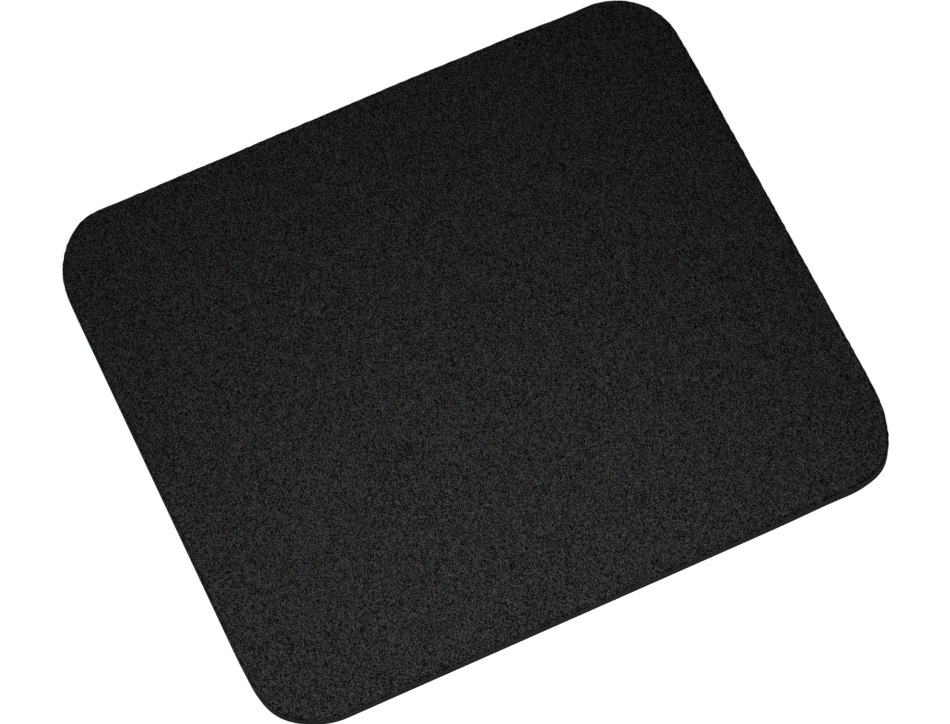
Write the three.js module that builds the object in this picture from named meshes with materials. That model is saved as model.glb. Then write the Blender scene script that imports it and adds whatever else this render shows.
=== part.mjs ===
// A cloth-topped mouse pad: three sheets laminated face to face, then die cut together.
// Millimetres, +Z up, +X along the long side. The origin is the middle of the underside.
import * as THREE from "three";
import { toCreasedNormals } from "three/addons/utils/BufferGeometryUtils.js";

// The outline that the die cuts, seen from above
const padLength = 228.6;
const padWidth = 203.2;
const cornerRadius = 24.5;

// The three sheets, from the desk up
const rubberThickness = 4.4;
const filmThickness = 0.1;
const clothThickness = 0.5;

// The blade drags the sheets down as it cuts: they round over at the rim, and sink a little
// over a wider, softer shoulder
const rimRollRun = 1;
const rimRollDrop = 0.35;
const shoulderRun = 5.5;
const shoulderDrop = 0.25;

// How finely the curves are stepped, and the sharpest crease that still looks rounded
const cornerSteps = 16;
const rollSteps = 6;
const shoulderSteps = 4;
const creaseAngle = THREE.MathUtils.degToRad(35);

// How far a sheet lies below its own level, at a distance in from the cut edge
function sag(inset) {
  const rollShare = Math.max(1 - inset / rimRollRun, 0);
  const shoulderShare = Math.max(1 - inset / shoulderRun, 0);
  const roll = rimRollDrop * (1 - Math.sqrt(1 - rollShare ** 2));
  const shoulder = shoulderDrop * shoulderShare ** 2;
  return roll + shoulder;
}

// The rings of points that give a sunken face its shape: close together where it rounds over
// at the rim, wider over the shoulder
function sunkenRings() {
  const insets = [];
  for (let step = 0; step < rollSteps; step++) {
    const angle = ((step / rollSteps) * Math.PI) / 2;
    insets.push(rimRollRun * (1 - Math.cos(angle)));
  }
  for (let step = 0; step <= shoulderSteps; step++) {
    insets.push(THREE.MathUtils.lerp(rimRollRun, shoulderRun, step / shoulderSteps));
  }
  return insets.map((inset) => ({ inset, drop: sag(inset) }));
}

// The outline moved inwards, counterclockwise from the right-hand side
function outline(inset) {
  const radius = cornerRadius - inset;
  const arcX = padLength / 2 - cornerRadius;
  const arcY = padWidth / 2 - cornerRadius;
  const points = [];
  for (let corner = 0; corner < 4; corner++) {
    const centreX = corner === 0 || corner === 3 ? arcX : -arcX;
    const centreY = corner < 2 ? arcY : -arcY;
    for (let step = 0; step <= cornerSteps; step++) {
      const angle = ((corner + step / cornerSteps) * Math.PI) / 2;
      const x = centreX + radius * Math.cos(angle);
      const y = centreY + radius * Math.sin(angle);
      points.push({ x, y });
    }
  }
  return points;
}

// One face of a sheet, seen from above: its points, ring after ring from the cut edge inwards
// and then the middle, and its triangles. Faces with the same rings are split along the same
// diagonals, so two sheets that share a face meet without a gap.
function face(level, rings) {
  const points = [];
  for (const { inset, drop } of rings) {
    for (const { x, y } of outline(inset)) points.push([x, y, level - drop]);
  }
  const middle = points.length;
  points.push([0, 0, level]);

  const ringSize = middle / rings.length;
  const triangles = [];
  for (let here = 0; here < ringSize; here++) {
    const next = (here + 1) % ringSize;
    for (let outer = 0; outer + ringSize < middle; outer += ringSize) {
      const inner = outer + ringSize;
      triangles.push([outer + here, outer + next, inner + next]);
      triangles.push([outer + here, inner + next, inner + here]);
    }
    const last = middle - ringSize;
    triangles.push([last + here, last + next, middle]);
  }
  return { points, triangles };
}

// One sheet as a closed body: its lower face turned to look down, its upper face, and the cut
// edge between their outermost rings
function sheetGeometry(lower, upper) {
  const upperStart = lower.points.length;
  const index = [];
  for (const [a, b, c] of lower.triangles) index.push(c, b, a);
  for (const corners of upper.triangles) {
    for (const corner of corners) index.push(upperStart + corner);
  }
  const rimSize = outline(0).length;
  for (let here = 0; here < rimSize; here++) {
    const next = (here + 1) % rimSize;
    index.push(here, next, upperStart + next);
    index.push(here, upperStart + next, upperStart + here);
  }
  const positions = [...lower.points, ...upper.points].flat();
  const geometry = new THREE.BufferGeometry();
  geometry.setAttribute("position", new THREE.Float32BufferAttribute(positions, 3));
  geometry.setIndex(index);
  return toCreasedNormals(geometry, creaseAngle);
}

function sheet(name, lower, upper, material) {
  const mesh = new THREE.Mesh(sheetGeometry(lower, upper), material);
  mesh.name = name;
  return mesh;
}

// Black sponge rubber, with a faint green cast where the cut shows it
function spongeRubber() {
  return new THREE.MeshStandardMaterial({ color: 0x1d2120, roughness: 0.9, metalness: 0 });
}

// Hot-melt film, a dark line between two black sheets
function hotMeltFilm() {
  return new THREE.MeshStandardMaterial({ color: 0x141515, roughness: 0.6, metalness: 0 });
}

// Black polyester knit
function knitCloth() {
  return new THREE.MeshStandardMaterial({ color: 0x242425, roughness: 0.95, metalness: 0 });
}

// The faces, from the desk up. Only the underside stays level right out to the cut edge.
const levelRings = [{ inset: 0, drop: 0 }];
const rubberTop = rubberThickness;
const filmTop = rubberTop + filmThickness;
const clothTop = filmTop + clothThickness;
const underside = face(0, levelRings);
const rubberFace = face(rubberTop, sunkenRings());
const filmFace = face(filmTop, sunkenRings());
const clothFace = face(clothTop, sunkenRings());

const mousePad = new THREE.Group();
mousePad.add(
  sheet("rubber_base", underside, rubberFace, spongeRubber()),
  sheet("bonding_film", rubberFace, filmFace, hotMeltFilm()),
  sheet("cloth_top", filmFace, clothFace, knitCloth()),
);

export default mousePad;
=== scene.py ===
import math

import bpy
import numpy as np
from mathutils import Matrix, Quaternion, Vector


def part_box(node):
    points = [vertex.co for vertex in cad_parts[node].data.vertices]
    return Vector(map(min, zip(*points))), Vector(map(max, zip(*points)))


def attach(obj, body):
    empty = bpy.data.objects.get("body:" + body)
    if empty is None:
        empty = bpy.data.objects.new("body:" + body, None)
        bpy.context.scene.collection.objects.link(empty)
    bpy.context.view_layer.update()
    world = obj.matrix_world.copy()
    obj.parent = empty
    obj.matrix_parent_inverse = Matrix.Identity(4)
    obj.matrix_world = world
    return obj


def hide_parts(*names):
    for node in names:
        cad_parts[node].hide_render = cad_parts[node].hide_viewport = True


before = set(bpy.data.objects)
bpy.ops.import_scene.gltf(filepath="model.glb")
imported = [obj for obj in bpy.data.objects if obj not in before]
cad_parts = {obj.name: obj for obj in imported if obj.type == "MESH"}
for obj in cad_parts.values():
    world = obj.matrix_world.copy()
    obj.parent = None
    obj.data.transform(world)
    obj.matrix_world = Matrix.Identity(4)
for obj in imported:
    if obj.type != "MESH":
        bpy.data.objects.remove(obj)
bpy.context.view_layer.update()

# Sizes are in millimetres up to where a mesh is made, and in metres from there on
MM = 0.001
TURN = 2 * math.pi

# The solids' own sizes: the boxes come from the frame, and the corners' radius is theirs too
HALF_LENGTH, HALF_WIDTH, CLOTH_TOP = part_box("cloth_top")[1] / MM
FILM_TOP = (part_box("bonding_film")[1] / MM).z
RUBBER_TOP = (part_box("rubber_base")[1] / MM).z
CORNER_RADIUS = 24.5
STRAIGHT_X = HALF_LENGTH - CORNER_RADIUS
STRAIGHT_Y = HALF_WIDTH - CORNER_RADIUS

# How the die leaves the rim: rolled over, with a wider and softer shoulder that varies
ROLL_RUN = 1.0
ROLL_DROP = 0.35
SHOULDER_RUN = 5.5
SHOULDER_DROP = 0.25
SHOULDER_VARIATION = 0.3
SHOULDER_LIMIT = 1.6

# The cloth lies a little unevenly on the sponge. Its long waves mostly sink it.
SHORT_HEIGHT = 0.012
LONG_HEIGHT = 0.05
LONG_SINK = 1

# The cut edges, measured out from the outline. Levels are shares of an edge's height, and each
# level of the cloth has its bulge. A shift is how far off the random waves are read again.
CLOTH_OVERHANG = 0.03
CLOTH_RAGGED = 0.045
CLOTH_FOOT_BACK = 0.05
CLOTH_FOOT_RAGGED = 0.5 * CLOTH_RAGGED
CLOTH_FOOT_SHIFT = 40
CLOTH_LEVELS = (0, 0.3, 0.7)
CLOTH_BULGES = (0, 0.03, 0.035)
FILM_RECESS = 0.14
RUBBER_DISH = 0.08
RUBBER_DISH_ROUND = 0.8
RUBBER_RAGGED = 0.03
RUBBER_SHIFT = 9
RUBBER_LEVELS = (0, 0.1, 0.3, 0.5, 0.7, 0.9, 1)

# Where the cut strays from the plain outline: a place on it, how far out, and over what reach
STRAYS = (
    (113, -83, -0.85, 8),
    (104, -97, 0.9, 7),
    (84, -101.6, -0.35, 13),
    (114, 80, -0.3, 9),
    (84, 101.6, -0.65, 14),
    (12, 101.6, 0.28, 45),
    (-98, 100, 0.5, 6),
    (-111, 88, -0.6, 10),
    (-109, -91, 0.6, 8),
    (-114, -80, -0.4, 8),
)

# The anti-slip pattern under the pad: flat diamond studs with grooves between them
STUD_PITCH = 2.7
STUD_GROOVE = 0.55
STUD_CHAMFER = 0.22
STUD_HEIGHT = 0.28
STUD_FOOT = (STUD_PITCH - STUD_GROOVE) / 2
STUD_TIP = STUD_FOOT - STUD_CHAMFER
PLAIN_RIM = 0.6

# Mesh steps, and how the meshes are welded and shaded
TOP_STEP = 0.9
ARC_STEPS = 24
RIM_INSETS = (0, 0.07, 0.16, 0.28, 0.42, 0.6, 0.8, 1.0, 1.3, 1.7, 2.2, 2.8, 3.5, 4.3, 5.1, 5.9)
HIDDEN_INSETS = (0.3, 0.65, 1.0, 3.2, 5.5)
WELD_DIGITS = 5
SMOOTH_UP_TO = math.radians(40)


# Random but repeatable heights. Each is the sum of a number of waves, with lengths in a range.

WAVE_SEED = 7
SHORT_WAVES = ((2.5, 5.0), 28)
LONG_WAVES = ((28.0, 60.0), 12)
SHOULDER_WAVES = ((18.0, 70.0), 12)
CLOTH_EDGE_WAVES = ((1.2, 5.0), 24)
RUBBER_EDGE_WAVES = ((2.5, 9.0), 20)


def wave_field(rng, wavelengths, count):
    """A smooth random height over the pad, as a sum of sine waves, with about unit spread."""
    lengths = rng.uniform(*wavelengths, count)
    headings = rng.uniform(0, TURN, count)
    phases = rng.uniform(0, TURN, count)

    def height(x, y):
        total = 0
        for length, heading, phase in zip(lengths, headings, phases):
            along = x * math.cos(heading) + y * math.sin(heading)
            total = total + np.sin(TURN * along / length + phase)
        return total * math.sqrt(2 / count)

    return height


rng = np.random.default_rng(WAVE_SEED)
short_waves = wave_field(rng, *SHORT_WAVES)
long_waves = wave_field(rng, *LONG_WAVES)
shoulder_waves = wave_field(rng, *SHOULDER_WAVES)
cloth_edge_waves = wave_field(rng, *CLOTH_EDGE_WAVES)
rubber_edge_waves = wave_field(rng, *RUBBER_EDGE_WAVES)


# The outline and the section

def sag(inset, x, y):
    """How far a layer lies below its own level."""
    roll = np.clip(1 - inset / ROLL_RUN, 0, 1)
    shoulder = np.clip(1 - inset / SHOULDER_RUN, 0, 1)
    waves = np.clip(shoulder_waves(x, y), -SHOULDER_LIMIT, SHOULDER_LIMIT)
    uneven = 1 + SHOULDER_VARIATION * waves
    return ROLL_DROP * (1 - np.sqrt(1 - roll ** 2)) + SHOULDER_DROP * uneven * shoulder ** 2


def relief(x, y):
    """The unevenness of the cloth's face."""
    return SHORT_HEIGHT * short_waves(x, y) + LONG_HEIGHT * (long_waves(x, y) - LONG_SINK)


def past_corner(x, y):
    """How far places lie past the straight parts of the sides each way, and which of them lie
    in a rounded corner."""
    past_x, past_y = np.abs(x) - STRAIGHT_X, np.abs(y) - STRAIGHT_Y
    return past_x, past_y, (past_x > 0) & (past_y > 0)


def inset_of(x, y):
    """How far in from the outline places lie, and less than nothing outside it."""
    past_x, past_y, corner = past_corner(x, y)
    return CORNER_RADIUS - np.where(corner, np.hypot(past_x, past_y), np.maximum(past_x, past_y))


def outward(x, y):
    """The unit way out of the pad from places on its outline."""
    past_x, past_y, corner = past_corner(x, y)
    way_x = np.where(corner, past_x, np.where(past_x >= past_y, 1, 0))
    way_y = np.where(corner, past_y, np.where(past_x >= past_y, 0, 1))
    length = np.hypot(way_x, way_y)
    return np.stack([np.sign(x) * way_x / length, np.sign(y) * way_y / length], axis=-1)


def pushed(x, y, push, out):
    """Places moved by a push along their ways out."""
    return x + push * out[..., 0], y + push * out[..., 1]


def strayed(points):
    """Points after the outline's strays have carried them along."""
    moved = points.copy()
    for x, y, amount, reach in STRAYS:
        apart = np.hypot(points[:, 0] - x, points[:, 1] - y)
        way = outward(np.array([x]), np.array([y]))
        moved[:, :2] += amount * way * np.exp(-(apart / reach) ** 2)[:, None]
    return moved


def bend_to_outline(x, y):
    """Rounds the corners of a square-cornered grid. Gives the new places, how far in from the
    outline they are, and the way out."""
    past_x, past_y, corner = past_corner(x, y)
    reach = np.maximum(past_x, past_y)
    share = np.where(corner, np.minimum(past_x, past_y) / np.where(corner, reach, 1), 0)
    angle = np.where(past_x >= past_y, share, 2 - share) * math.pi / 4
    far_x = np.where(corner, STRAIGHT_X + reach * np.cos(angle), np.abs(x))
    far_y = np.where(corner, STRAIGHT_Y + reach * np.sin(angle), np.abs(y))
    out = np.stack([np.sign(x) * np.cos(angle), np.sign(y) * np.sin(angle)], axis=-1)
    return np.sign(x) * far_x, np.sign(y) * far_y, CORNER_RADIUS - reach, out


def grid_lines(half):
    """Lines across the pad: close together at the rim, then in even steps."""
    straight = half - CORNER_RADIUS
    rim = half - np.array(RIM_INSETS)[::-1]
    arc_count = math.ceil((CORNER_RADIUS - RIM_INSETS[-1]) / TOP_STEP)
    arc = np.linspace(straight, rim[0], arc_count, endpoint=False)
    middle = np.linspace(0, straight, math.ceil(straight / TOP_STEP), endpoint=False)
    positive = np.concatenate([middle, arc, rim])
    return np.concatenate([-positive[:0:-1], positive])


def bent_grid():
    """The grid of the pad's upper faces, bent to the outline."""
    return bend_to_outline(*np.meshgrid(grid_lines(HALF_LENGTH), grid_lines(HALF_WIDTH)))


def border(grid):
    """The outer ring of a grid, counterclockwise."""
    return np.concatenate([grid[:-1, -1], grid[-1, :0:-1], grid[:0:-1, 0], grid[0, :-1]])


def following(ring):
    """What comes after each item of a ring."""
    return np.roll(ring, -1, axis=0)


# The bake map: a sheet's open face fills the lower part, its cut edge lies in four strips
# above that, and the face that another sheet covers is a sliver at the top
MAP_EDGE = 0.01
MAP_GAP = 0.005
MAP_WIDTH = 1 - 2 * MAP_EDGE
MAP_SCALE = MAP_WIDTH / (2 * HALF_LENGTH)
FACE_HEIGHT = 2 * HALF_WIDTH * MAP_SCALE
STRIPS = 4
STRIP_PITCH = 0.02
STRIP_HEIGHT = 0.017
STRIPS_START = MAP_EDGE + FACE_HEIGHT + MAP_GAP
HIDDEN_START = STRIPS_START + STRIPS * STRIP_PITCH + MAP_GAP
HIDDEN_HEIGHT = 1 - MAP_GAP - HIDDEN_START


def face_map(x, y):
    """Where places of an open face lie on the map."""
    return np.stack([MAP_EDGE + (x + HALF_LENGTH) * MAP_SCALE,
                     MAP_EDGE + (y + HALF_WIDTH) * MAP_SCALE], axis=-1)


def hidden_map(x, y):
    """Where places of a covered face lie on the map."""
    return np.stack([MAP_EDGE + (x + HALF_LENGTH) * MAP_SCALE,
                     HIDDEN_START + (y / HALF_WIDTH + 1) / 2 * HIDDEN_HEIGHT], axis=-1)


# Under this name each point keeps its place on the plain outline, for the materials
PLAIN_PLACE = "plain_place"


class Sheet:
    """Collects the points and faces of one mesh, in millimetres."""

    def __init__(self):
        self.points = []
        self.faces = []
        self.maps = []
        self.count = 0

    def add_points(self, x, y, z):
        """Adds points and gives their numbers, in the shape that they came in."""
        x, y, z = np.broadcast_arrays(x, y, z)
        self.points.append(np.stack([x.ravel(), y.ravel(), z.ravel()], axis=-1))
        first = self.count
        self.count += x.size
        return np.arange(first, self.count).reshape(x.shape)

    def add_faces(self, corners, places):
        """corners is one row of point numbers a face, and places their spots on the map."""
        self.faces.extend(np.asarray(corners).tolist())
        self.maps.append(np.asarray(places).reshape(-1, 2))

    def add_wall(self, rings, heights):
        """A cut edge through rings of points, from the lowest up. heights are their shares of
        the strip's height."""
        places = np.concatenate(self.points)[rings[-1], :2]
        steps = np.linalg.norm(following(places) - places, axis=1)
        walk = np.concatenate([[0], np.cumsum(steps)]) / steps.sum() * STRIPS
        row = np.floor((walk[:-1] + walk[1:]) / 2)
        start, end = (np.clip(w - row, 0, 1) * MAP_WIDTH + MAP_EDGE for w in (walk[:-1], walk[1:]))
        foot = STRIPS_START + row * STRIP_PITCH
        for low, high, low_share, high_share in zip(rings, rings[1:], heights, heights[1:]):
            down, up = foot + low_share * STRIP_HEIGHT, foot + high_share * STRIP_HEIGHT
            corners = np.stack([low, following(low), following(high), high], axis=-1)
            spots = [(start, down), (end, down), (end, up), (start, up)]
            self.add_faces(corners, np.stack([np.stack(s, axis=-1) for s in spots], axis=1))

    def add_hidden(self, rim, level, facing_up):
        """The face that the next sheet covers: rings in from the rim, then a fan."""
        places = np.concatenate(self.points)[rim, :2]
        out = outward(*places.T)
        way = 1 if facing_up else -1
        ring, spots = rim, hidden_map(*places.T)
        for inset in HIDDEN_INSETS:
            x, y = pushed(*places.T, -inset, out)
            inner = self.add_points(x, y, level - sag(inset, x, y))
            inner_spots = hidden_map(x, y)
            corners = np.stack([ring, following(ring), following(inner), inner], axis=-1)
            four = [spots, following(spots), following(inner_spots), inner_spots]
            self.add_faces(corners[:, ::way], np.stack(four, axis=1)[:, ::way])
            ring, spots = inner, inner_spots
        middle = np.broadcast_to(self.add_points(0, 0, level), ring.shape)
        middle_spots = np.broadcast_to(hidden_map(0, 0), spots.shape)
        corners = np.stack([ring, following(ring), middle], axis=-1)
        three = [spots, following(spots), middle_spots]
        self.add_faces(corners[:, ::way], np.stack(three, axis=1)[:, ::way])

    def make(self, name):
        """Turns what was collected into a piece of the scene."""
        mesh = bpy.data.meshes.new(name)
        plain = np.concatenate(self.points)
        mesh.from_pydata((strayed(plain) * MM).tolist(), [], self.faces)
        places = mesh.attributes.new(PLAIN_PLACE, "FLOAT_VECTOR", "POINT")
        places.data.foreach_set("vector", plain.astype(np.float32).ravel())
        layer = mesh.uv_layers.new(name="OFBake")
        layer.data.foreach_set("uv", np.concatenate(self.maps).astype(np.float32).ravel())
        mesh.shade_smooth()
        mesh.set_sharp_from_angle(angle=SMOOTH_UP_TO)
        piece = bpy.data.objects.new(name, mesh)
        bpy.context.scene.collection.objects.link(piece)
        return piece


# The cloth

def make_cloth():
    """The cloth's uneven face, its ragged cut edge, and the face that lies on the film."""
    sheet = Sheet()
    x, y, inset, out = bent_grid()
    inner = np.clip(inset / ROLL_RUN, 0, 1)
    push = (1 - inner) ** 2 * (CLOTH_OVERHANG + CLOTH_RAGGED * cloth_edge_waves(x, y))
    z = CLOTH_TOP - sag(inset, x, y) + inner * relief(x, y)
    index = sheet.add_points(*pushed(x, y, push, out), z)
    spots = face_map(x, y)
    quads = [index[:-1, :-1], index[:-1, 1:], index[1:, 1:], index[1:, :-1]]
    four = [spots[:-1, :-1], spots[:-1, 1:], spots[1:, 1:], spots[1:, :-1]]
    sheet.add_faces(np.stack(quads, axis=-1).reshape(-1, 4), np.stack(four, axis=2))

    x, y = border(x), border(y)
    out = outward(x, y)
    drop = sag(0, x, y)
    high_push = CLOTH_OVERHANG + CLOTH_RAGGED * cloth_edge_waves(x, y)
    low_push = high_push - CLOTH_FOOT_BACK
    low_push = low_push + CLOTH_FOOT_RAGGED * cloth_edge_waves(y + CLOTH_FOOT_SHIFT, x)
    rings = []
    for share, bulge in zip(CLOTH_LEVELS, CLOTH_BULGES):
        push = high_push * share + low_push * (1 - share) + bulge
        level = CLOTH_TOP * share + FILM_TOP * (1 - share) - drop
        rings.append(sheet.add_points(*pushed(x, y, push, out), level))
    sheet.add_wall([*rings, border(index)], [*CLOTH_LEVELS, 1])
    sheet.add_hidden(rings[0], FILM_TOP, facing_up=False)
    return sheet.make("cloth_sheet")


# The film

def make_film():
    """The film's edge, set back from the cut, and its two covered faces."""
    sheet = Sheet()
    x, y, *_ = bent_grid()
    x, y = border(x), border(y)
    place = pushed(x, y, -FILM_RECESS, outward(x, y))
    drop = sag(0, x, y)
    rings = [sheet.add_points(*place, level - drop) for level in (RUBBER_TOP, FILM_TOP)]
    sheet.add_wall(rings, [0, 1])
    sheet.add_hidden(rings[0], RUBBER_TOP, facing_up=False)
    sheet.add_hidden(rings[1], FILM_TOP, facing_up=True)
    return sheet.make("film_sheet")


# The sponge rubber

def stud_height(x, y):
    """How high the underside lies above the desk: nothing under a stud, most in a groove. The
    die presses the grooves shut at the rim."""
    turned = np.stack([x + y, y - x]) / math.sqrt(2) / STUD_PITCH
    off = np.max(np.abs(turned - np.round(turned)) * STUD_PITCH, axis=0)
    open_share = np.clip((inset_of(x, y) - PLAIN_RIM) / (STUD_PITCH - PLAIN_RIM), 0, 1)
    return STUD_HEIGHT * open_share * np.clip((off - STUD_TIP) / STUD_CHAMFER, 0, 1)


def stud_facets():
    """The flat facets of the stud pattern, seen from above: one row of four corners each."""
    foot, tip, past = STUD_FOOT, STUD_TIP, STUD_PITCH - STUD_FOOT
    low = [(foot, -foot), (foot, foot), (-foot, foot), (-foot, -foot)]
    high = [(tip, -tip), (tip, tip), (-tip, tip), (-tip, -tip)]
    facets = [high]
    for k in range(4):
        facets.append([low[k], low[(k + 1) % 4], high[(k + 1) % 4], high[k]])
    facets.append([(foot, -foot), (past, -foot), (past, foot), (foot, foot)])
    facets.append([(-foot, foot), (foot, foot), (foot, past), (-foot, past)])
    facets.append([(foot, foot), (past, foot), (past, past), (foot, past)])
    reach = math.ceil(math.hypot(HALF_LENGTH, HALF_WIDTH) / STUD_PITCH)
    steps = np.arange(-reach, reach + 1) * STUD_PITCH
    places = np.stack(np.meshgrid(steps, steps), axis=-1).reshape(-1, 1, 1, 2)
    x, y = np.moveaxis((places + np.array(facets)).reshape(-1, 4, 2), -1, 0)
    return np.stack([x - y, x + y], axis=-1) / math.sqrt(2)


def outline_lines():
    """The outline as a convex polygon: the way out across each of its sides, and how far."""
    angles = (np.arange(ARC_STEPS * 4) / ARC_STEPS + 0.5 / ARC_STEPS) * math.pi / 2
    ways = np.stack([np.cos(angles), np.sin(angles)], axis=-1)
    flat = math.cos(math.pi / 4 / ARC_STEPS) * CORNER_RADIUS
    reach = (np.abs(ways) * np.array([STRAIGHT_X, STRAIGHT_Y])).sum(axis=1) + flat
    side_ways = np.array([(1, 0), (0, 1), (-1, 0), (0, -1)])
    side_reach = np.array([HALF_LENGTH, HALF_WIDTH] * 2)
    return np.concatenate([ways, side_ways]), np.concatenate([reach, side_reach])


def cut_facet(corners, ways, reach):
    """What the die leaves of one facet."""
    for way, far in zip(ways, reach):
        kept = []
        past = corners @ way - far
        for here, after, past_here, past_after in zip(corners, following(corners),
                                                      past, following(past)):
            if past_here <= 0:
                kept.append(here)
            if (past_here < 0 < past_after) or (past_after < 0 < past_here):
                kept.append(here + (after - here) * past_here / (past_here - past_after))
        corners = np.array(kept)
        if len(corners) < 3:
            return []
    return corners


def underside_polygons():
    """The facets of the stud pattern that lie under the pad, cut to its outline."""
    ways, reach = outline_lines()
    facets = stud_facets()
    insets = inset_of(facets[..., 0], facets[..., 1])
    whole = insets.min(axis=1) > STUD_CHAMFER
    polygons = list(facets[whole])
    for corners in facets[~whole & (insets.max(axis=1) > 0)]:
        lines = ((corners @ ways.T - reach) > 0).any(axis=0)
        corners = cut_facet(corners, ways[lines], reach[lines])
        if len(corners):
            polygons.append(corners)
    return polygons


def welded(polygons):
    """Polygons that share their points: the points, and each polygon's point numbers. Adding
    zero turns minus zero into zero, so that the two weld."""
    rounded = np.round(np.concatenate(polygons), WELD_DIGITS) + 0.0
    places, number = np.unique(rounded, axis=0, return_inverse=True)
    ends = np.cumsum([len(corners) for corners in polygons])[:-1]
    numbered = (corners[corners != following(corners)]
                for corners in np.split(number.ravel(), ends))
    return places, [corners for corners in numbered if len(corners) > 2]


def open_rim(polygons):
    """The ring of edges that only one polygon has."""
    edges = set()
    for corners in polygons:
        for edge in zip(corners.tolist(), following(corners).tolist()):
            if edge[::-1] in edges:
                edges.remove(edge[::-1])
            else:
                edges.add(edge)
    after = dict(edges)
    rim = [min(after)]
    while after[rim[-1]] != rim[0]:
        rim.append(after[rim[-1]])
    return rim


def make_sponge():
    """The studded underside, the dished cut edge, and the face that the film covers."""
    sheet = Sheet()
    places, polygons = welded(underside_polygons())
    index = sheet.add_points(*places.T, stud_height(*places.T))
    spots = face_map(*places.T)
    for corners in polygons:
        sheet.add_faces(index[corners[::-1]][None], spots[corners[::-1]])

    rim = open_rim(polygons)
    x, y = places[rim].T
    out = outward(x, y)
    low = stud_height(x, y)
    high = RUBBER_TOP - sag(0, x, y)
    rings = [index[rim]]
    for share in RUBBER_LEVELS[1:]:
        dish = RUBBER_DISH * math.sin(math.pi * share) ** RUBBER_DISH_ROUND
        ragged = RUBBER_RAGGED * rubber_edge_waves(x + RUBBER_SHIFT * share, y)
        push = ragged * share - dish
        rings.append(sheet.add_points(*pushed(x, y, push, out), low + (high - low) * share))
    sheet.add_wall(rings, RUBBER_LEVELS)
    sheet.add_hidden(rings[-1], RUBBER_TOP, facing_up=True)
    return sheet.make("sponge_sheet")


cloth = make_cloth()
film = make_film()
sponge = make_sponge()


# Materials. Their patterns are worked out in millimetres too. A tone is how bright a surface
# looks, and this power turns it into the share of the light that the surface sends back.
TONE_POWER = 2.4
PLAIN_TINT = (1.0, 1.0, 1.0)
WHITE = (1.0, 1.0, 1.0, 1.0)

# A noise is given by the size of its patches and its detail. Its values lie round a half,
# mostly in this range.
NOISE_MIDDLE = (0.5, 0.5, 0.5)
NOISE_RUN = (0.3, 0.7)


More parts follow.
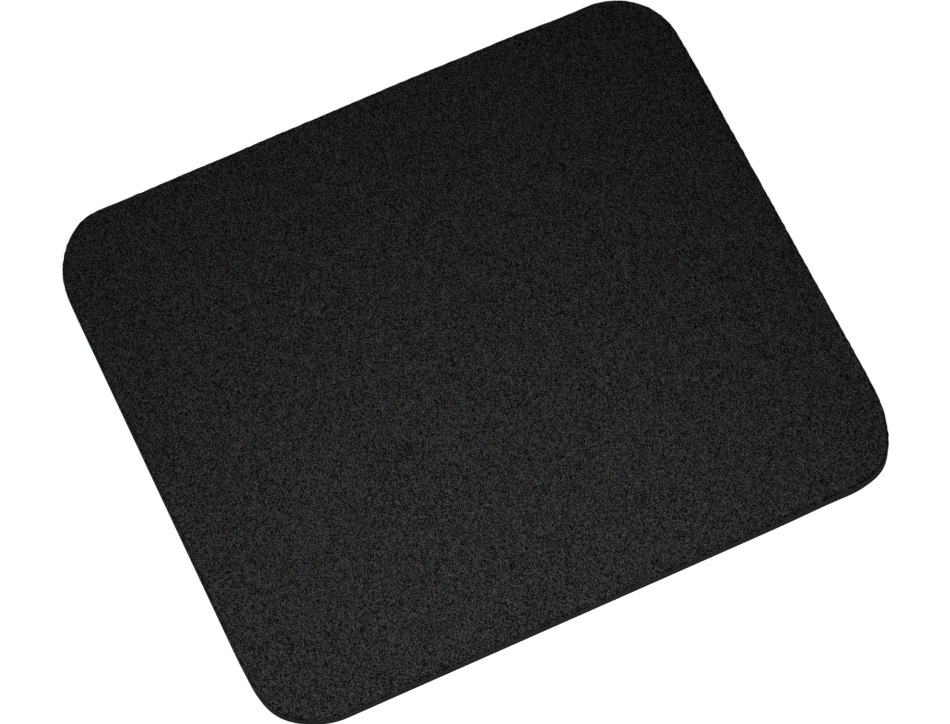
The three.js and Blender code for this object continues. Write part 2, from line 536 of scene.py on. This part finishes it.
class Shader:
    """A material, with short ways to add the nodes that its pattern needs."""

    def __init__(self, name, **surface):
        self.material = bpy.data.materials.new(name)
        self.material.use_nodes = True
        self.tree = self.material.node_tree
        self.surface = self.tree.nodes["Principled BSDF"]
        for socket, value in surface.items():
            self.surface.inputs[socket.replace("_", " ")].default_value = value
        node = self.tree.nodes.new("ShaderNodeAttribute")
        node.attribute_name = PLAIN_PLACE
        self.place = node.outputs["Vector"]

    def put(self, socket, value):
        """Links a node's output to a socket, or sets the socket to a plain value."""
        if isinstance(value, bpy.types.NodeSocket):
            self.tree.links.new(value, socket)
        else:
            socket.default_value = value

    def calc(self, operation, *values):
        """One step of arithmetic with numbers."""
        node = self.tree.nodes.new("ShaderNodeMath")
        node.operation = operation
        for socket, value in zip(node.inputs, values):
            self.put(socket, value)
        return node.outputs[0]

    def vector(self, operation, *values, scale=None):
        """One step of arithmetic with vectors or colours."""
        node = self.tree.nodes.new("ShaderNodeVectorMath")
        node.operation = operation
        for socket, value in zip(node.inputs, values):
            self.put(socket, value)
        if scale is not None:
            self.put(node.inputs["Scale"], scale)
        return node.outputs["Value" if operation == "LENGTH" else "Vector"]

    def noise(self, place, size, detail, output="Fac"):
        """Soft random patches of about that size, from 0 to 1."""
        node = self.tree.nodes.new("ShaderNodeTexNoise")
        self.put(node.inputs["Vector"], place)
        node.inputs["Scale"].default_value = 1 / size
        node.inputs["Detail"].default_value = detail
        return node.outputs[output]

    def cells(self, place, size):
        """Irregular cells of about that size: how far off the middle of a cell is, and a random
        number for each cell."""
        node = self.tree.nodes.new("ShaderNodeTexVoronoi")
        self.put(node.inputs["Vector"], place)
        node.inputs["Scale"].default_value = 1 / size
        colour = self.tree.nodes.new("ShaderNodeSeparateColor")
        self.put(colour.inputs["Color"], node.outputs["Color"])
        return node.outputs["Distance"], colour.outputs["Red"]

    def joined(self, *values):
        """A vector of those parts."""
        node = self.tree.nodes.new("ShaderNodeCombineXYZ")
        for socket, value in zip(node.inputs, values):
            self.put(socket, value)
        return node.outputs[0]

    def parts(self, vector):
        """The three parts of a vector."""
        node = self.tree.nodes.new("ShaderNodeSeparateXYZ")
        self.put(node.inputs[0], vector)
        return node.outputs

    def any_number(self, *place):
        """A random number from 0 to 1, one for each whole step along the place's axes."""
        node = self.tree.nodes.new("ShaderNodeTexWhiteNoise")
        steps = [self.calc("FLOOR", value) for value in place]
        self.put(node.inputs["Vector"], self.joined(*steps))
        return node.outputs["Value"]

    def ramp(self, value, low, high, to_low=0.0, to_high=1.0, smooth=False):
        """A value in one range carried over to another, and held at its ends."""
        node = self.tree.nodes.new("ShaderNodeMapRange")
        if smooth:
            node.interpolation_type = "SMOOTHSTEP"
        for socket, number in zip(node.inputs, (value, low, high, to_low, to_high)):
            self.put(socket, number)
        return node.outputs["Result"]

    def sway(self, noise, reach, run=NOISE_RUN):
        """A noise turned into a change of up to that reach, up or down."""
        return self.ramp(noise, *run, -reach, reach)

    def near(self, value, centre, reach):
        """1 where the value is at its centre, falling to 0 that far from it."""
        off = self.calc("ABSOLUTE", self.calc("SUBTRACT", value, centre))
        return self.ramp(off, 0.0, reach, 1.0, 0.0, smooth=True)

    def times(self, *values):
        """The product of all values."""
        total = values[0]
        for value in values[1:]:
            total = self.calc("MULTIPLY", total, value)
        return total

    def mix(self, share, one, two):
        """A colour that goes from one to the other as the share goes from 0 to 1."""
        node = self.tree.nodes.new("ShaderNodeMix")
        node.data_type = "RGBA"
        self.put(node.inputs["Factor"], share)
        colours = [socket for socket in node.inputs if socket.type == "RGBA"]
        for socket, colour in zip(colours, (one, two)):
            self.put(socket, colour)
        return [socket for socket in node.outputs if socket.type == "RGBA"][0]

    def inset(self):
        """How far in from the outline a point lies."""
        x, y, _ = self.parts(self.vector("ABSOLUTE", self.place))
        out_x = self.calc("MAXIMUM", self.calc("SUBTRACT", x, STRAIGHT_X), 0.0)
        out_y = self.calc("MAXIMUM", self.calc("SUBTRACT", y, STRAIGHT_Y), 0.0)
        squares = self.calc("ADD", self.times(out_x, out_x), self.times(out_y, out_y))
        return self.calc("SUBTRACT", CORNER_RADIUS, self.calc("SQRT", squares))

    def paint(self, tint, tone):
        """Colours the surface."""
        light = self.calc("POWER", self.calc("MAXIMUM", tone, 0.0), TONE_POWER)
        self.put(self.surface.inputs["Base Color"], self.vector("SCALE", tint, scale=light))

    def roughen(self, value):
        """Sets how dull the surface is from place to place."""
        self.put(self.surface.inputs["Roughness"], value)

    def bump(self, height, distance):
        """Gives the surface a fine relief, of that many millimetres."""
        node = self.tree.nodes.new("ShaderNodeBump")
        node.inputs["Distance"].default_value = distance * MM
        self.put(node.inputs["Height"], height)
        self.put(self.surface.inputs["Normal"], node.outputs[0])


# The knit: wales of V-shaped stitches, each with two legs that rise towards its sides. The
# stitches wander a little.
WALE = 0.42
COURSE = 0.33
LEGS = 2.0
LEG_RISE = 1.5
KNIT_DRIFT = 0.5
KNIT_DRIFT_NOISE = (1.5, 1.0)
YARN_ROUND = 0.55

# The yarns: black or dark grey ones, made of twisted strands
STRANDS = 6.0
STRAND_WAVES = 5.0
FIBRE_NOISE = (1.0, 1.0)
FIBRE_RUN = (0.2, 0.8)
FIBRE_TONE = 0.067
LEG_TONES = (0.0, 0.51)
LEG_BIAS = 1.3
LEG_ROUGHNESS = (0.98, 0.82)
CLOTH_PATCHES = (9.0, 2.0)
PATCH_TONE = 0.003
# Between the yarns the knit is painted darker: painted shade in its gaps
GAP_SHADE_SHARE = 0.45
CLOTH_TINT = (0.883, 0.915, 0.913)
TINT_PATCHES = (4.5, 1.0)
TINT_VARIATION = (0.26, 0.17, 0.26)

# How much the parts of the relief lift it, and its height
LEG_LIFT = 0.3
FIBRE_LIFT = 0.4
KNIT_HEIGHT = 0.11

# Along the rim the cloth is greener, and darker with painted shade where the rolled edge turns the
# gaps of its knit sideways. Just behind that a paler band is a painted highlight, where the
# shoulder faces the lamp. Its cut edge is darker from its own cut fibres and from painted shade,
# deepest at the foot by the seam.
RIM_RUN = (0.2, 1.7)
RIM_SHADE_TONE = 0.93
RIM_TINT_RUN = (0.3, 2.2)
RIM_TINT = (0.93, 1.07, 1.01, 1)
RIDGE_INSET = 1.9
RIDGE_REACH = 1.1
RIDGE_HIGHLIGHT_TONE = 0.02
CUT_RUN = (4.0, 4.5)
CUT_SHADE_TONE = 0.5

# Here and there the seam gapes, shown only as painted shade: a dark line that wanders along the
# rim, where the mesh has no opening
SLIT_INSET = 0.42
SLIT_REACH = 0.27
SLIT_WANDER = 0.45
SLIT_WANDER_NOISE = (7.0, 1.0)
SLIT_OPEN_NOISE = (2.5, 1.0)
SLIT_OPEN_RUN = (0.53, 0.6)
SLIT_SHADE_TONE = 0.8

# Round one place it has come looser: the line is wider, straighter, further in and more open
LOOSE_PLACE = (97, -98, 5)
LOOSE_RUN = (16.0, 26.0)
LOOSE_INSET = 0.2
LOOSE_REACH = 0.15
LOOSE_WANDER = 0.5
LOOSE_SHARE = 0.12


def seam_slit_shade(s, inset):
    """How much painted shade the gaping seam puts on the cloth, from 0 where it is shut."""
    apart = s.vector("LENGTH", s.vector("SUBTRACT", s.place, LOOSE_PLACE))
    loose = s.ramp(apart, *LOOSE_RUN, 1.0, 0.0, smooth=True)
    wander = s.sway(s.noise(s.place, *SLIT_WANDER_NOISE), SLIT_WANDER)
    wander = s.times(wander, s.ramp(loose, 0.0, 1.0, 1.0, LOOSE_WANDER))
    centre = s.calc("ADD", SLIT_INSET, s.times(LOOSE_INSET, loose))
    reach = s.calc("ADD", SLIT_REACH, s.times(LOOSE_REACH, loose))
    line = s.near(s.calc("ADD", inset, wander), centre, reach)
    gape = s.calc("ADD", s.noise(s.place, *SLIT_OPEN_NOISE), s.times(LOOSE_SHARE, loose))
    return s.times(SLIT_SHADE_TONE, line, s.ramp(gape, *SLIT_OPEN_RUN))


def knit_cloth():
    """Black knitted polyester."""
    s = Shader("knit_cloth", Specular_IOR_Level=0.01, Sheen_Weight=0.02, Sheen_Roughness=0.5)
    drift = s.noise(s.place, *KNIT_DRIFT_NOISE, output="Color")
    drift = s.vector("SCALE", s.vector("SUBTRACT", drift, NOISE_MIDDLE), scale=KNIT_DRIFT)
    x, y, _ = s.parts(s.vector("ADD", s.place, drift))
    wale = s.calc("DIVIDE", x, WALE)
    side = s.calc("PINGPONG", wale, 1 / LEGS)
    course = s.calc("SUBTRACT", s.calc("DIVIDE", y, COURSE), s.times(side, LEG_RISE))
    leg = s.any_number(s.times(wale, LEGS), course)
    across = s.calc("SINE", s.times(s.calc("FRACT", course), math.pi))
    along = s.calc("SINE", s.times(side, TURN))
    yarn = s.calc("MAXIMUM", s.times(across, across, along), 0.0)
    yarn = s.calc("POWER", yarn, YARN_ROUND)
    strands = s.joined(s.times(side, STRAND_WAVES), s.times(course, STRANDS), leg)
    fibre = s.noise(strands, *FIBRE_NOISE)

    tone = s.ramp(s.calc("POWER", leg, LEG_BIAS), 0.0, 1.0, *LEG_TONES)
    tone = s.calc("ADD", tone, s.sway(fibre, FIBRE_TONE, FIBRE_RUN))
    tone = s.calc("ADD", tone, s.sway(s.noise(s.place, *CLOTH_PATCHES), PATCH_TONE))
    # Painted shade between the yarns
    gap_shade = s.ramp(yarn, 0.0, 1.0, GAP_SHADE_SHARE, 1.0)

    inset = s.inset()
    # Painted shade along the rolled rim
    rim_shade = s.ramp(inset, *RIM_RUN, RIM_SHADE_TONE, 1.0, smooth=True)
    # A painted highlight on the shoulder, where it faces the lamp
    ridge_highlight = s.times(RIDGE_HIGHLIGHT_TONE, s.near(inset, RIDGE_INSET, RIDGE_REACH))
    ridge_highlight = s.calc("ADD", 1.0, ridge_highlight)
    # Darker towards the foot of the cut edge: its dark cut fibres, and painted shade by the seam
    cut = s.ramp(s.parts(s.place)[2], *CUT_RUN, CUT_SHADE_TONE, 1.0, smooth=True)
    # What the seam's painted shade leaves of the tone
    shut = s.calc("SUBTRACT", 1.0, seam_slit_shade(s, inset))
    tone = s.times(tone, gap_shade, rim_shade, ridge_highlight, cut, shut)

    tint = s.noise(s.place, *TINT_PATCHES, output="Color")
    tint = s.vector("ADD", s.vector("MULTIPLY", tint, TINT_VARIATION), CLOTH_TINT)
    rim_tint = s.mix(s.ramp(inset, *RIM_TINT_RUN, smooth=True), RIM_TINT, WHITE)
    s.paint(s.vector("MULTIPLY", tint, rim_tint), tone)
    s.roughen(s.ramp(leg, 0.0, 1.0, *LEG_ROUGHNESS))
    height = s.calc("ADD", yarn, s.times(leg, LEG_LIFT))
    s.bump(s.calc("ADD", height, s.times(fibre, FIBRE_LIFT)), KNIT_HEIGHT)
    return s.material


# The sponge rubber: a mottled skin with pores, some of them cut open
SPONGE_TONE = 0.154
SPONGE_TINT = (0.86, 1.12, 1.04)
SPONGE_ROUGHNESS = (0.75, 0.9)
SPONGE_PATCHES = (6.0, 2.0)
SPONGE_PATCH_TONE = 0.008
SKIN_NOISE = (0.9, 4.0)
SKIN_TONE = 0.045
SKIN_LIFT = 0.6
PORE_SIZE = 0.24
PORE_RUN = (0.1, 0.42)
PORE_OPEN_RUN = (0.25, 0.7)
PORE_SHADE_TONE = 0.08
SPONGE_HEIGHT = 0.06

# Its top edge, under the cloth's overhang, is darker with painted shadow. The grooves under it are
# darker with painted shade, but not at the rim
SEAM_SHADOW_RUN = (2.9, 3.8)
SEAM_SHADOW_TONE = 0.35
SEAM_SHADOW_NOISE = (2.0, 2.0)
SEAM_SHADOW_NOISE_RUN = (0.35, 0.65)
SEAM_SHADOW_SHARES = (0.3, 1.0)
GROOVE_SHADE_TONE = 0.45
GROOVE_START = 0.2


def sponge_rubber():
    """Black sponge rubber with a faint green cast."""
    s = Shader("sponge_rubber", Specular_IOR_Level=0.04)
    level = s.parts(s.place)[2]
    skin = s.noise(s.place, *SKIN_NOISE)
    off, chance = s.cells(s.place, PORE_SIZE)
    pore = s.ramp(off, *PORE_RUN, 1.0, 0.0, smooth=True)
    pore = s.times(pore, s.ramp(chance, *PORE_OPEN_RUN))
    patch = s.noise(s.place, *SPONGE_PATCHES)
    tone = s.calc("ADD", SPONGE_TONE, s.sway(patch, SPONGE_PATCH_TONE))
    tone = s.calc("ADD", tone, s.sway(skin, SKIN_TONE))
    # Painted shade in the open pores
    tone = s.calc("SUBTRACT", tone, s.times(pore, PORE_SHADE_TONE))
    # Painted shadow from the cloth's overhang, darkest at the top edge, in patches
    seam_shadow = s.ramp(s.noise(s.place, *SEAM_SHADOW_NOISE), *SEAM_SHADOW_NOISE_RUN, *SEAM_SHADOW_SHARES)
    seam_shadow = s.times(SEAM_SHADOW_TONE, seam_shadow, s.ramp(level, *SEAM_SHADOW_RUN, smooth=True))
    # Painted shade in the grooves between the studs
    groove = s.times(GROOVE_SHADE_TONE, s.ramp(level, 0.0, STUD_HEIGHT))
    groove = s.times(groove, s.ramp(s.inset(), GROOVE_START, PLAIN_RIM))
    tone = s.times(tone, s.calc("SUBTRACT", 1.0, seam_shadow), s.calc("SUBTRACT", 1.0, groove))
    s.paint(SPONGE_TINT, tone)
    s.roughen(s.ramp(skin, *NOISE_RUN, *SPONGE_ROUGHNESS))
    s.bump(s.calc("SUBTRACT", s.times(skin, SKIN_LIFT), pore), SPONGE_HEIGHT)
    return s.material


# The film: almost black, with streaks
FILM_STREAKS = (1.5, 2.0)
FILM_TONES = (0.06, 0.09)
FILM_ROUGHNESS = (0.5, 0.7)
FILM_HEIGHT = 0.03


def hot_melt_film():
    """Hot-melt glue, a little shinier than what it joins."""
    s = Shader("hot_melt_film", Specular_IOR_Level=0.1)
    streak = s.noise(s.place, *FILM_STREAKS)
    s.paint(PLAIN_TINT, s.ramp(streak, *NOISE_RUN, *FILM_TONES))
    s.roughen(s.ramp(streak, *NOISE_RUN, *FILM_ROUGHNESS))
    s.bump(streak, FILM_HEIGHT)
    return s.material


for piece, material, slot, node in (
    (cloth, knit_cloth(), "knit_cloth", "cloth_top"),
    (film, hot_melt_film(), "hot_melt_film", "bonding_film"),
    (sponge, sponge_rubber(), "sponge_rubber", "rubber_base"),
):
    piece.data.materials.append(material)
    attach(piece, "root")
    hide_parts(node)


# From here on everything is in metres. The camera stands where the photograph was taken from.

CAMERA_PLACE = Vector((-0.21977, -0.61543, 1.35871))
CAMERA_TARGET = Vector((-0.00095, -0.00612, 0.00508))
CAMERA_ROLL = math.radians(-5.38)
CAMERA_FAR = 100
LENS = 170.92
SENSOR_WIDTH = 36


def aim(item, place, target, roll=0):
    """Puts a camera or a lamp at a place, looking at the target."""
    item.location = place
    item.rotation_mode = "QUATERNION"
    straight = (target - place).to_track_quat("-Z", "Y")
    item.rotation_quaternion = straight @ Quaternion((0, 0, 1), roll)


camera_data = bpy.data.cameras.new("camera")
camera_data.lens = LENS
camera_data.sensor_width = SENSOR_WIDTH
camera_data.clip_end = CAMERA_FAR
camera = bpy.data.objects.new("camera", camera_data)
bpy.context.scene.collection.objects.link(camera)
aim(camera, CAMERA_PLACE, CAMERA_TARGET, CAMERA_ROLL)
bpy.context.scene.camera = camera


# The studio: a soft lamp low over the near edge of the pad, an even fill, and a white floor

FILL = 0.125
KEY_PLACE = Vector((-0.04, -0.128, 0.17))
KEY_TARGET = Vector((-0.05, -0.1, 0))
KEY_SIZE = 0.3
KEY_POWER = 0.715
FLOOR_ALBEDO = 0.8
FLOOR_SEEN_ALBEDO = 0.3
FLOOR_LIFT = 0.93
FLOOR_ROUGHNESS = 0.9
FLOOR_SIZE = 12
FLOOR_DROP = 0.00003

key_data = bpy.data.lights.new("key", "AREA")
key_data.shape = "SQUARE"
key_data.size = KEY_SIZE
key_data.energy = KEY_POWER
key = bpy.data.objects.new("key", key_data)
bpy.context.scene.collection.objects.link(key)
aim(key, KEY_PLACE, KEY_TARGET)
key.visible_camera = False


def seen_directly(tree):
    """1 for rays from the camera, and for those that metal and glass send on."""
    path = tree.nodes.new("ShaderNodeLightPath")
    total = path.outputs["Is Camera Ray"]
    for name in ("Is Glossy Ray", "Is Transmission Ray"):
        node = tree.nodes.new("ShaderNodeMath")
        node.operation = "MAXIMUM"
        tree.links.new(total, node.inputs[0])
        tree.links.new(path.outputs[name], node.inputs[1])
        total = node.outputs[0]
    return total


def set_by_ray(tree, socket, otherwise, seen):
    """One value for light that falls on the pad, and another where the camera looks."""
    node = tree.nodes.new("ShaderNodeMapRange")
    tree.links.new(seen_directly(tree), node.inputs["Value"])
    node.inputs["To Min"].default_value = otherwise
    node.inputs["To Max"].default_value = seen
    tree.links.new(node.outputs["Result"], socket)


world = bpy.data.worlds.new("studio")
world.use_nodes = True
bpy.context.scene.world = world
backdrop = world.node_tree.nodes["Background"]
backdrop.inputs["Color"].default_value = WHITE
set_by_ray(world.node_tree, backdrop.inputs["Strength"], FILL, 1)

floor_half = FLOOR_SIZE / 2
floor_corners = [(x * floor_half, y * floor_half, -FLOOR_DROP)
                 for x, y in ((-1, -1), (1, -1), (1, 1), (-1, 1))]
floor_mesh = bpy.data.meshes.new("floor")
floor_mesh.from_pydata(floor_corners, [], [(0, 1, 2, 3)])
floor = bpy.data.objects.new("floor", floor_mesh)
bpy.context.scene.collection.objects.link(floor)

floor_white = bpy.data.materials.new("floor_white")
floor_white.use_nodes = True
floor_tree = floor_white.node_tree
surface = floor_tree.nodes["Principled BSDF"]
surface.inputs["Roughness"].default_value = FLOOR_ROUGHNESS
surface.inputs["Specular IOR Level"].default_value = 0
surface.inputs["Emission Color"].default_value = WHITE
set_by_ray(floor_tree, surface.inputs["Base Color"], FLOOR_ALBEDO, FLOOR_SEEN_ALBEDO)
set_by_ray(floor_tree, surface.inputs["Emission Strength"], 0, FLOOR_LIFT)
floor.data.materials.append(floor_white)

bpy.context.scene.view_settings.view_transform = "Standard"
